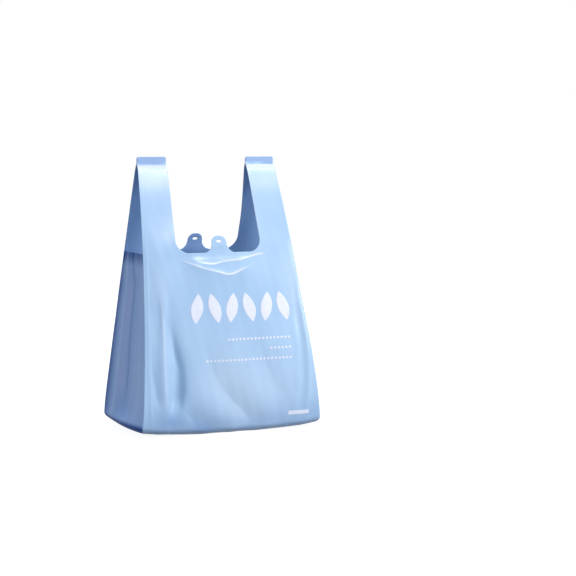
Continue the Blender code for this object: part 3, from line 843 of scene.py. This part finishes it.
def gusset(name, side):
    """Rows are those of the panels; a column's place runs from -1 at the front fold to 1 at the back."""
    rows = body_rows(GUSSET_FINENESS)
    edge, inset = rows[:, 0:1], rows[:, 1:2]
    place = np.linspace(-1, 1, round(GUSSET_COLUMNS * GUSSET_FINENESS) + 1)
    x = side * (half_width(edge) - inset + gusset_relief(place, edge, PLEAT_SEED + side))
    grid = settled(x, place * (half_depth(edge) - inset), edge + 0 * place)
    # Painted shade and painted light across the gusset.
    grid[..., OVERLAP_AND_SHADE] = gusset_overlap_and_shade(place, edge)
    grid[..., PAINTED_LIGHT] = gusset_painted_light(place, edge)
    return mesh_of(name, [grid if side > 0 else grid[:, ::-1]])


left_gusset = gusset("film_left_gusset", -1)
right_gusset = gusset("film_right_gusset", 1)
print("each gusset has", len(left_gusset.data.polygons), "faces")

# %% [markdown]
# ## Base
#
# The base weld runs across the middle. Where the bag opens out, the gusset ends lie flat as two triangles,
# whose folded edges show from below as lines from each corner towards the weld. A flat sheet would do while
# the bag stands, but the part may be laid on its side, so the weld and the folds are raised.


# %% Build the base
BASE_FINENESS = 0.7
BASE_ROWS_ACROSS = 120
BASE_WELD = {"height": 0.0012, "spread": 0.0022}
CORNER_FOLD = {"height": 0.0007, "spread": 0.0016, "blue": 0.4}


def base(name):
    """A flat grid with the weld lifted clear of the floor, and a low step along each corner fold."""
    x = rim_places(BASE_FINENESS) * (half_width(0.0) - BASE_ROUND) / half_width(MOUTH_HEIGHT)
    reach = half_depth(0.0) - BASE_ROUND
    y = np.linspace(1, -1, round(BASE_ROWS_ACROSS * BASE_FINENESS) + 1)[:, None] * reach
    edge = (1 - (x / x[-1]) ** 8) * (1 - (y / reach) ** 8)
    past_fold = (x[-1] - np.abs(x)) - (reach - np.abs(y))
    weld_line = bump(y, BASE_WELD["spread"])
    corner_fold = CORNER_FOLD["height"] * bump(past_fold, CORNER_FOLD["spread"]) * (np.abs(y) > 0.002)
    z = np.maximum(BASE_WELD["height"] * weld_line, corner_fold) * edge
    grid = settled(x + 0 * y, y + 0 * x, z)
    grid[..., OVERLAP_AND_SHADE] = np.clip(weld_line + CORNER_FOLD["blue"] * (past_fold < 0), 0, 1)
    return mesh_of(name, [grid])


bag_base = base("film_base")
print("the base has", len(bag_base.data.polygons), "faces")

# %% [markdown]
# ## Welded bands
#
# The heated jaws leave a stiff, slightly glossy band across each handle end, with a fine line pressed along
# its lower edge. A bevelled box would have the same outline. A grid on each face, closed at the edge, can
# also carry the jaws' ripple and bend with the rest of the bag.


# %% Build the weld bands
WELD_CORNER = 0.004
# The left jaw has pressed a little lower than the right one.
WELD_LAP = {-1: 0.0018, 1: 0.0006}
WELD_HALF = 0.0011
WELD_OVERHANG = 0.0002
# The jaws' ripple runs across the band, and a slow wave bends the band along its length.
JAW_PITCH = 0.0016
JAW_RIPPLE = 0.00012
WELD_WAVE = 0.0003
WELD_WAVE_LENGTH = 0.047


def weld_band(name, side):
    """A thin pillow: the outline is a rounded rectangle, and both faces meet it in a short curve."""
    inner = MOUTH_TOP_WIDTH / 2 - WELD_OVERHANG
    outer = float(half_width(np.float64(WELD_LINE))) + WELD_OVERHANG
    across, up = np.meshgrid(np.linspace(-1, 1, 73), np.linspace(-1, 1, 31))
    middle, half = (inner + outer) / 2, (outer - inner) / 2
    tall = (HEIGHT - WELD_LINE + WELD_LAP[side]) / 2
    over = np.clip(np.abs(across) * half - (half - WELD_CORNER), 0, None) / WELD_CORNER
    drop = WELD_CORNER * (1 - np.sqrt(1 - np.clip(over, 0, 1) ** 2)) * np.clip(up, 0, 1)
    x = middle + half * across
    z = HEIGHT - tall * (1 - up) - drop
    pillow = WELD_HALF * np.clip(1 - np.maximum(np.abs(across), np.abs(up)) ** 24, 0, 1) ** 0.5
    wave = JAW_RIPPLE * np.sin(2 * pi * z / JAW_PITCH) * ease(WELD_LINE, WELD_LINE + 0.002, z)
    wave = 0.6 * (wave + WELD_WAVE * np.sin(2 * pi * x / WELD_WAVE_LENGTH + 0.6 * side))
    front = settled(side * x, wave - pillow, z)
    back = settled(side * x, wave + pillow, z)
    if side < 0:
        front, back = front[:, ::-1], back[:, ::-1]
    return mesh_of(name, [front, back[:, ::-1]])


welds = [weld_band("weld_left", -1), weld_band("weld_right", 1)]
print("each weld band has", len(welds[0].data.polygons), "faces")

# %% [markdown]
# ## Thickness
#
# The real film is about 20 thousandths of a millimetre thick. It gets 0.2 mm here, just enough to stay a
# solid sheet in the exported model. The Solidify modifier keeps that wall even round every fold, and gives
# the inner side a second material slot, so that it can have its own, deeper colour: painted shade for the
# inside of the bag.

# %% Give the film its thickness
FILM_SHOWN = 0.0002
film_pieces = [front_panel, back_panel, left_gusset, right_gusset, bag_base]
for piece in film_pieces:
    wall = piece.modifiers.new("film thickness", "SOLIDIFY")
    wall.thickness = FILM_SHOWN
    wall.offset = -1
    wall.material_offset = 1
    wall.material_offset_rim = 0
print("pieces of film with a wall:", len(film_pieces))

# %% [markdown]
# ## Blue polyethylene film
#
# The real finish is high density polyethylene, blown and tinted light blue: a milky, half see-through sheet
# with a soft satin gloss. True transparency would cost long renders and vanish in the export, so the colour
# itself carries it, light outside and deeper inside where less light comes through.
#
# The mesh tells the material where to change. The blue deepens where layers overlap and where shade is
# painted, lightens in patches of painted light, and goes nearly white in painted highlights along sharp
# creases. A painted picture could say so too, but values from the folds' own formulas always lie on their
# folds. The gussets have a film of their own, matt because many small folds scatter the light. Fine streaks
# run up the tube as it was drawn, and faint creases stay from the folding.


# %% Colour and node helpers
def linear(hex_colour):
    """Turns an sRGB hex colour into linear: c/12.92 below 0.04045, else ((c + 0.055) / 1.055)^2.4."""
    channels = np.array([int(hex_colour[i:i + 2], 16) / 255 for i in (1, 3, 5)])
    values = np.where(channels <= 0.04045, channels / 12.92, ((channels + 0.055) / 1.055) ** 2.4)
    return (*values.tolist(), 1.0)


def add_node(tree, kind, settings=None, **links):
    """Adds a node. Settings are its options, and links its inputs: each a value or another node's output."""
    node = tree.nodes.new(kind)
    for name, value in (settings or {}).items():
        setattr(node, name, value)
    for name, value in links.items():
        socket = node.inputs[int(name[1:])] if name[0] == "i" and name[1:].isdigit() else node.inputs[name]
        if isinstance(value, bpy.types.NodeSocket):
            tree.links.new(value, socket)
        else:
            socket.default_value = value
    return node


def new_material(name):
    """An empty node material and its tree."""
    material = bpy.data.materials.new(name)
    material.use_nodes = True
    material.node_tree.nodes.clear()
    return material, material.node_tree


def noise_scale(millimetres):
    """A noise texture's scale is the number of its cells in a metre."""
    return 1000 / millimetres


# %% The film's finish
# The sizes in millimetres: drifts of tint along the tube, the streaks of the drawing and the faint creases.
# Real streaks are too fine to show, so they are drawn coarser.
TINT_DRIFT = 111
STREAK_WIDTH = 2.381
FAINT_CREASE = 29.4
# How much longer a streak is than it is wide.
STREAK_LENGTH = 20
HIGHLIGHT_WHITE = "#FDFEFF"
FILM_IOR = 1.52
# With the streaks, the roughness varies from this much below its value to this much above it.
GLOSSIER = 0.04
ROUGHER = 0.06


def film_material(name, light, deep, hem, painted_light_colour, roughness, sheen, seed):
    """Blown film: two blues that drift into each other, then deeper blue for overlap and painted shade,
    painted light and painted highlights over them.
    """
    material, tree = new_material(name)
    place = add_node(tree, "ShaderNodeTexCoord").outputs["Object"]
    drift = add_node(tree, "ShaderNodeTexNoise", {"noise_dimensions": "4D"}, Vector=place,
                     Scale=noise_scale(TINT_DRIFT), Detail=3.0, W=seed)
    blend = add_node(tree, "ShaderNodeValToRGB", Fac=drift.outputs["Fac"])
    for stop, position, colour in zip(blend.color_ramp.elements, (0.35, 0.65), (deep, light)):
        stop.position, stop.color = position, linear(colour)
    blue = blend.outputs["Color"]
    # Inputs 0, 6 and 7 of a colour mix are its share and its two colours, and its output 2 is the result.
    # The fourth colour deepens the blue for double film and painted shade, and the fifth lightens it as
    # painted light.
    for value, colour in (("overlap_and_shade", hem), ("milky", painted_light_colour), ("painted_highlight", HIGHLIGHT_WHITE)):
        share = add_node(tree, "ShaderNodeAttribute", {"attribute_name": value}).outputs["Fac"]
        blue = add_node(tree, "ShaderNodeMix", {"data_type": "RGBA"}, i0=share, i6=blue,
                        i7=linear(colour)).outputs[2]
    tall = add_node(tree, "ShaderNodeMapping", Vector=place, Scale=(1.0, 1.0, 1 / STREAK_LENGTH))
    streaks = add_node(tree, "ShaderNodeTexNoise", Vector=tall.outputs["Vector"],
                       Scale=noise_scale(STREAK_WIDTH), Detail=2.0)
    creases = add_node(tree, "ShaderNodeTexNoise", {"noise_type": "RIDGED_MULTIFRACTAL", "normalize": True},
                       Vector=place, Scale=noise_scale(FAINT_CREASE), Detail=2.0)
    fine = add_node(tree, "ShaderNodeBump", Height=streaks.outputs["Fac"], Strength=0.06, Distance=0.0003)
    surface = add_node(tree, "ShaderNodeBump", Height=creases.outputs["Fac"], Strength=0.02, Distance=0.002,
                       Normal=fine.outputs["Normal"])
    gloss = add_node(tree, "ShaderNodeMapRange", Value=streaks.outputs["Fac"],
                     **{"To Min": roughness - GLOSSIER, "To Max": roughness + ROUGHER})
    shader = add_node(tree, "ShaderNodeBsdfPrincipled", Roughness=gloss.outputs["Result"], IOR=FILM_IOR,
                      Normal=surface.outputs["Normal"], **{"Specular IOR Level": sheen})
    shader.inputs["Base Color"].default_value = linear(light)
    tree.links.new(blue, shader.inputs["Base Color"])
    add_node(tree, "ShaderNodeOutputMaterial", Surface=shader.outputs["BSDF"])
    return material


film_outside = film_material(
    "blown HDPE film, satin outer face", "#BBDBF1", "#B2D3EC", "#5F88C2", "#DDF3FF", 0.19, 0.2, 1.0)
film_inside = film_material(
    "blown HDPE film, inner face in shade", "#A0C3E8", "#98BBE3", "#5A80B8", "#C4DCF4", 0.26, 0.1, 2.0)
film_gusset = film_material(
    "blown HDPE film, matt from its folds", "#C8E1FF", "#BCD9FC", "#3F64A6", "#DDE6FF", 0.4, 0.02, 3.0)
print("film materials:", [film.name for film in (film_outside, film_inside, film_gusset)])

# %% [markdown]
# ## Printed white ink
#
# Such bags carry words and a bar in white flexographic ink. No words are drawn here: a row of leaves, three
# rows of dots and the bar keep the ink's place, colour and weight. A mask in the film's material would work
# too, but each shape is a thin patch of its own, laid on the panel's own formula, so it follows every fold
# and its edge stays sharp.

# %% Patches of ink
INK_LIFT = 0.00012
INK_THICKNESS = 0.0001
ink_patches = []


def lay_ink(x, z):
    """Puts a grid of (x, z) on the front panel, lifted off it by the ink's thickness."""
    ink_patches.append(panel_points(FRONT, x, z, -INK_LIFT))


def solid_shape(x, z, width, height, roundness, droop=0.0):
    """A square grid squeezed towards a disc: u times the root of (1 - k v^2 / 2), and the same for v."""
    u, v = np.meshgrid(np.linspace(-1, 1, 25), np.linspace(-1, 1, 25))
    wide = width / 2 * u * np.sqrt(1 - roundness * v**2 / 2)
    high = height / 2 * v * np.sqrt(1 - roundness * u**2 / 2)
    lay_ink(x + wide, z + high - droop * u)


def leaf_shape(x, z, width, height, lean):
    """Half the width times one minus v squared, pointed at both ends, and the whole leans over with v."""
    u, v = np.meshgrid(np.linspace(-1, 1, 17), np.linspace(-0.985, 0.985, 41))
    lay_ink(x + width / 2 * u * (1 - v**2) + lean * v, z + height / 2 * v)


# %% The row of leaves, the rows of dots and the bar
LEAF_COUNT = 6
LEAF_START = -0.052
LEAF_PITCH = 0.0312
LEAF_WIDTH = 0.0215
LEAF_LEAN = 0.005
LEAF_MIDDLE = 0.207
LEAF_HEIGHT = 0.049
for number in range(LEAF_COUNT):
    leaf_shape(LEAF_START + LEAF_PITCH * number, LEAF_MIDDLE, LEAF_WIDTH, LEAF_HEIGHT,
               LEAF_LEAN * (-1) ** number)

# Each row of dots has its height and its count, and ends at the same place on the right.
DOT_ROWS = ((0.155, 17), (0.138, 6), (0.121, 23))
DOT_RIGHT = 0.109
DOT_PITCH = 0.0068
DOT_SIZE = 0.004
for height, count in DOT_ROWS:
    for number in range(count):
        solid_shape(DOT_RIGHT - number * DOT_PITCH, height, DOT_SIZE, DOT_SIZE, 1.0)

BAR = {"x": 0.1185, "z": 0.0258, "width": 0.0372, "height": 0.0066, "roundness": 0.02, "droop": 0.0008}
solid_shape(**BAR)
ink = mesh_of("printed_white_shapes", ink_patches)
ink_wall = ink.modifiers.new("ink thickness", "SOLIDIFY")
ink_wall.thickness = INK_THICKNESS
ink_wall.offset = -1
print("the ink has", len(ink_patches), "shapes")

# %% [markdown]
# The ink is a thin layer of white pigment, matt beside the film. The rubber plate presses it on a little
# unevenly, so its white has a fine grain. One flat colour would do from far off, but looks like a sticker
# close up.


# %% The ink's finish
# The size of the grain in millimetres, coarser than the real one, which wouldn't show.
INK_GRAIN = 3.846


def ink_material(name, colour, thin_colour):
    """White ink whose grain slides between a full colour and a thinner one, with the same grain as pores."""
    material, tree = new_material(name)
    place = add_node(tree, "ShaderNodeTexCoord").outputs["Object"]
    grain = add_node(tree, "ShaderNodeTexNoise", Vector=place, Scale=noise_scale(INK_GRAIN), Detail=3.0)
    tone = add_node(tree, "ShaderNodeValToRGB", Fac=grain.outputs["Fac"])
    for stop, position, white in zip(tone.color_ramp.elements, (0.3, 0.55), (thin_colour, colour)):
        stop.position, stop.color = position, linear(white)
    pores = add_node(tree, "ShaderNodeBump", Height=grain.outputs["Fac"], Strength=0.05, Distance=0.0003)
    shader = add_node(tree, "ShaderNodeBsdfPrincipled", Normal=pores.outputs["Normal"], Roughness=0.45,
                      **{"Base Color": tone.outputs["Color"], "Specular IOR Level": 0.4})
    add_node(tree, "ShaderNodeOutputMaterial", Surface=shader.outputs["BSDF"])
    return material


white_ink = ink_material("white flexographic ink", "#F5F8FE", "#EDF3FC")
print("ink material:", white_ink.name)

# %% [markdown]
# ## Weld finish
#
# Heat and pressure melt the layers together into one thicker, clearer and stiffer band. The knurled jaw
# leaves fine lines across it. The mesh already has the ripple, and a wave texture with the same pitch adds
# the sharp edge of each line, which would need a far finer mesh.


# %% The weld's finish
# The size of the drifts of tint in millimetres.
WELD_DRIFT = 16.67


def weld_material(name, colour, deep):
    """Fused film: the film's blue, a shade deeper, with jaw lines at the pitch of the ripple."""
    material, tree = new_material(name)
    place = add_node(tree, "ShaderNodeTexCoord").outputs["Object"]
    # A wave texture has a period of 2 pi over 20 times its scale.
    lines = add_node(tree, "ShaderNodeTexWave", {"wave_type": "BANDS", "bands_direction": "Z"}, Vector=place,
                     Scale=2 * pi / (20 * JAW_PITCH), Distortion=0.6, **{"Detail Scale": 2.0})
    drift = add_node(tree, "ShaderNodeTexNoise", Vector=place, Scale=noise_scale(WELD_DRIFT), Detail=2.0)
    tone = add_node(tree, "ShaderNodeValToRGB", Fac=drift.outputs["Fac"])
    for stop, tint in zip(tone.color_ramp.elements, (deep, colour)):
        stop.color = linear(tint)
    pressed = add_node(tree, "ShaderNodeBump", Height=lines.outputs["Fac"], Strength=0.15, Distance=0.0003)
    shader = add_node(tree, "ShaderNodeBsdfPrincipled", Normal=pressed.outputs["Normal"], Roughness=0.32,
                      IOR=FILM_IOR, **{"Base Color": tone.outputs["Color"], "Specular IOR Level": 0.35})
    add_node(tree, "ShaderNodeOutputMaterial", Surface=shader.outputs["BSDF"])
    return material


fused_film = weld_material("heat-fused HDPE film", "#ACCBEC", "#A4C4E8")
print("weld material:", fused_film.name)

# %% Give every piece its finish and its place in the model
for piece in film_pieces:
    piece.data.materials.append(film_gusset if "gusset" in piece.name else film_outside)
    piece.data.materials.append(film_inside)
for piece in welds:
    piece.data.materials.append(fused_film)
ink.data.materials.append(white_ink)

for piece in (*film_pieces, *welds, ink):
    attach(piece, "root")
    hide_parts("bag")
print("pieces that stand for the bag:", len(film_pieces) + len(welds) + 1)

# %% [markdown]
# ## Floor, light and camera
#
# The light is a studio's. A tall key softbox stands in front and to the right, so that film which leans
# that way shines. A wide, low softbox hangs high in front and puts the bright patches on the strips and the
# swags. A third stands behind, so that the back is as well lit as the front. A dim, slightly blue surround
# lights what they don't reach, such as the gusset on the left. One sun lamp would be simpler, but its small
# reflection and hard shadow look nothing like a studio. All together light a surface that faces them at
# about full level, so a colour renders about as it is written.
#
# The floor and the surround look white only to rays from the camera and in reflections. That makes a white
# background without adding light to the bag.

# %% Studio constants
BACKGROUND = (1.0, 1.0, 1.0, 1.0)
SURROUND = (0.31, 0.39, 0.54, 1.0)
FLOOR_COLOUR = (0.3, 0.3, 0.31, 1.0)
FLOOR_GLOW = 0.93
FLOOR_REACH = 9
FLOOR_DROP = 0.0003
# Each softbox has its name, azimuth, elevation, distance, width, height, power and colour.
SOFTBOXES = (
    ("key softbox", 55.0, 20.0, 2.6, 0.5, 1.0, 18.0, (1.0, 1.0, 1.0)),
    ("high softbox", 24.0, 40.3, 2.4, 0.9, 0.24, 30.5, (1.0, 0.93, 0.99)),
    ("rear softbox", 164.0, 22.0, 2.5, 0.9, 0.9, 30.0, (1.0, 1.0, 1.0)),
)
AIM = np.array([0.0, 0.0, 0.24])
CAMERA_PLACE = (-1.0945, -2.7486, 0.4803)
CAMERA_AZIMUTH = -24.298
CAMERA_DROP = 4.75
CAMERA_LENS = 108.89


def seen_directly(tree):
    """1 for a ray from the camera, a reflection or a refraction, which should meet the white background."""
    path = add_node(tree, "ShaderNodeLightPath")
    some = add_node(tree, "ShaderNodeMath", {"operation": "MAXIMUM"}, i0=path.outputs["Is Camera Ray"],
                    i1=path.outputs["Is Glossy Ray"])
    return add_node(tree, "ShaderNodeMath", {"operation": "MAXIMUM"}, i0=some.outputs["Value"],
                    i1=path.outputs["Is Transmission Ray"]).outputs["Value"]


# %% The surround
world = bpy.data.worlds.new("pale studio surround")
bpy.context.scene.world = world
world.use_nodes = True
sky = world.node_tree
sky.nodes.clear()
lit = add_node(sky, "ShaderNodeBackground", Color=SURROUND, Strength=1.0)
shown = add_node(sky, "ShaderNodeBackground", Color=BACKGROUND, Strength=1.0)
choice = add_node(sky, "ShaderNodeMixShader", i0=seen_directly(sky), i1=lit.outputs[0], i2=shown.outputs[0])
add_node(sky, "ShaderNodeOutputWorld", Surface=choice.outputs["Shader"])
print("the surround's colour:", SURROUND[:3])

# %% The floor
corners = [(FLOOR_REACH * x, FLOOR_REACH * y, -FLOOR_DROP) for x, y in ((-1, -1), (1, -1), (1, 1), (-1, 1))]
floor_mesh = bpy.data.meshes.new("floor")
floor_mesh.from_pydata(corners, [], [(0, 1, 2, 3)])
floor = in_scene("floor", floor_mesh)
floor_material, ground = new_material("white paper floor")
paper = add_node(ground, "ShaderNodeBsdfDiffuse", Color=FLOOR_COLOUR)
glow = add_node(ground, "ShaderNodeMath", {"operation": "MULTIPLY"}, i0=seen_directly(ground),
                i1=FLOOR_GLOW)
shine = add_node(ground, "ShaderNodeEmission", Color=BACKGROUND, Strength=glow.outputs["Value"])
both = add_node(ground, "ShaderNodeAddShader", i0=paper.outputs["BSDF"], i1=shine.outputs["Emission"])
add_node(ground, "ShaderNodeOutputMaterial", Surface=both.outputs["Shader"])
floor.data.materials.append(floor_material)
print("the floor is", 2 * FLOOR_REACH, "m square")


# %% The softboxes
def towards(azimuth, elevation):
    """The unit vector (sin a cos e, -cos a cos e, sin e), with azimuth 0 straight in front of the bag."""
    a, e = radians(azimuth), radians(elevation)
    return np.array([np.sin(a) * np.cos(e), -np.cos(a) * np.cos(e), np.sin(e)])


def softbox(name, azimuth, elevation, distance, width, height, power, colour):
    """A rectangular area lamp that stands off from the middle of the bag and faces it."""
    lamp = bpy.data.lights.new(name, "AREA")
    lamp.shape = "RECTANGLE"
    lamp.size, lamp.size_y, lamp.energy, lamp.color = width, height, power, colour
    holder = in_scene(name, lamp)
    holder.location = AIM + distance * towards(azimuth, elevation)
    holder.rotation_euler = (radians(90 - elevation), 0, radians(azimuth))
    return holder


softboxes = [softbox(*row) for row in SOFTBOXES]
print("softboxes:", [holder.name for holder in softboxes])

# %% The camera
camera_data = bpy.data.cameras.new("camera")
camera_data.sensor_width = 36.0
camera_data.lens = CAMERA_LENS
camera = in_scene("camera", camera_data)
camera.location = CAMERA_PLACE
camera.rotation_euler = (radians(90 - CAMERA_DROP), 0, radians(CAMERA_AZIMUTH))
bpy.context.scene.camera = camera
bpy.context.scene.view_settings.view_transform = "Standard"
print("camera stands", round(float(np.linalg.norm(np.array(CAMERA_PLACE) - AIM)), 2), "m from the bag")

# %% Update the scene
bpy.context.view_layer.update()
